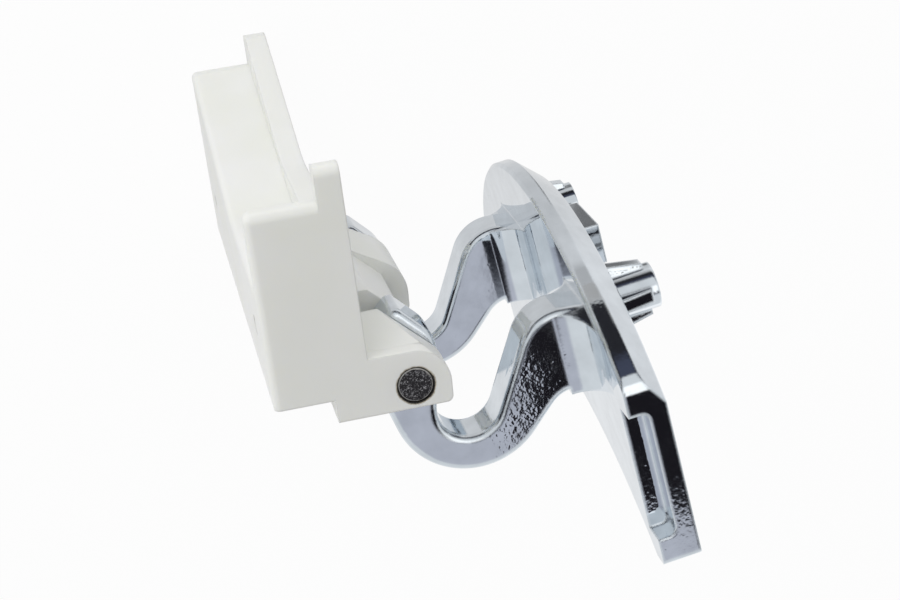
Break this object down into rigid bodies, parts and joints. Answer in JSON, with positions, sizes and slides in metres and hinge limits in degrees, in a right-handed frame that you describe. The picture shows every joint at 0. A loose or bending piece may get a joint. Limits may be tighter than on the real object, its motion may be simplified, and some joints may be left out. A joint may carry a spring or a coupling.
{
  "type": "appliance door hinge",
  "caption": "Dryer door hinge: a moulded bearing block with a steel pin carries a chromed door plate on gooseneck arms.",
  "frame": {"origin": "half way between the two cabinet screws, on the back face of the block; the pin axis is at X 23.2 mm, Y -9.5 mm", "axes": "+Z along the pin, upwards in use; +X from the cabinet towards the door plate; +Y from the pin towards the cabinet screws' side of the block, away from the middle of the door"},
  "size_m": [0.0722, 0.0817, 0.106],
  "materials": {
    "block_plastic": "satin, ivory white, slightly translucent",
    "pin_steel": "turned, dull end",
    "arm_chrome": "bright plating over a cast surface with pits"
  },
  "bodies": {
    "cabinet_side": {"bearing_block": "block_plastic", "hinge_pin": "pin_steel"},
    "door_side": {"door_arm": "arm_chrome"}
  },
  "joints": [
    {"name": "door_swing", "type": "hinge", "parent": "cabinet_side", "child": "door_side", "pos_m": [0.0232, -0.0095, 0], "axis": [0, 0, 1], "range_deg": [-25, 85]}
  ]
}
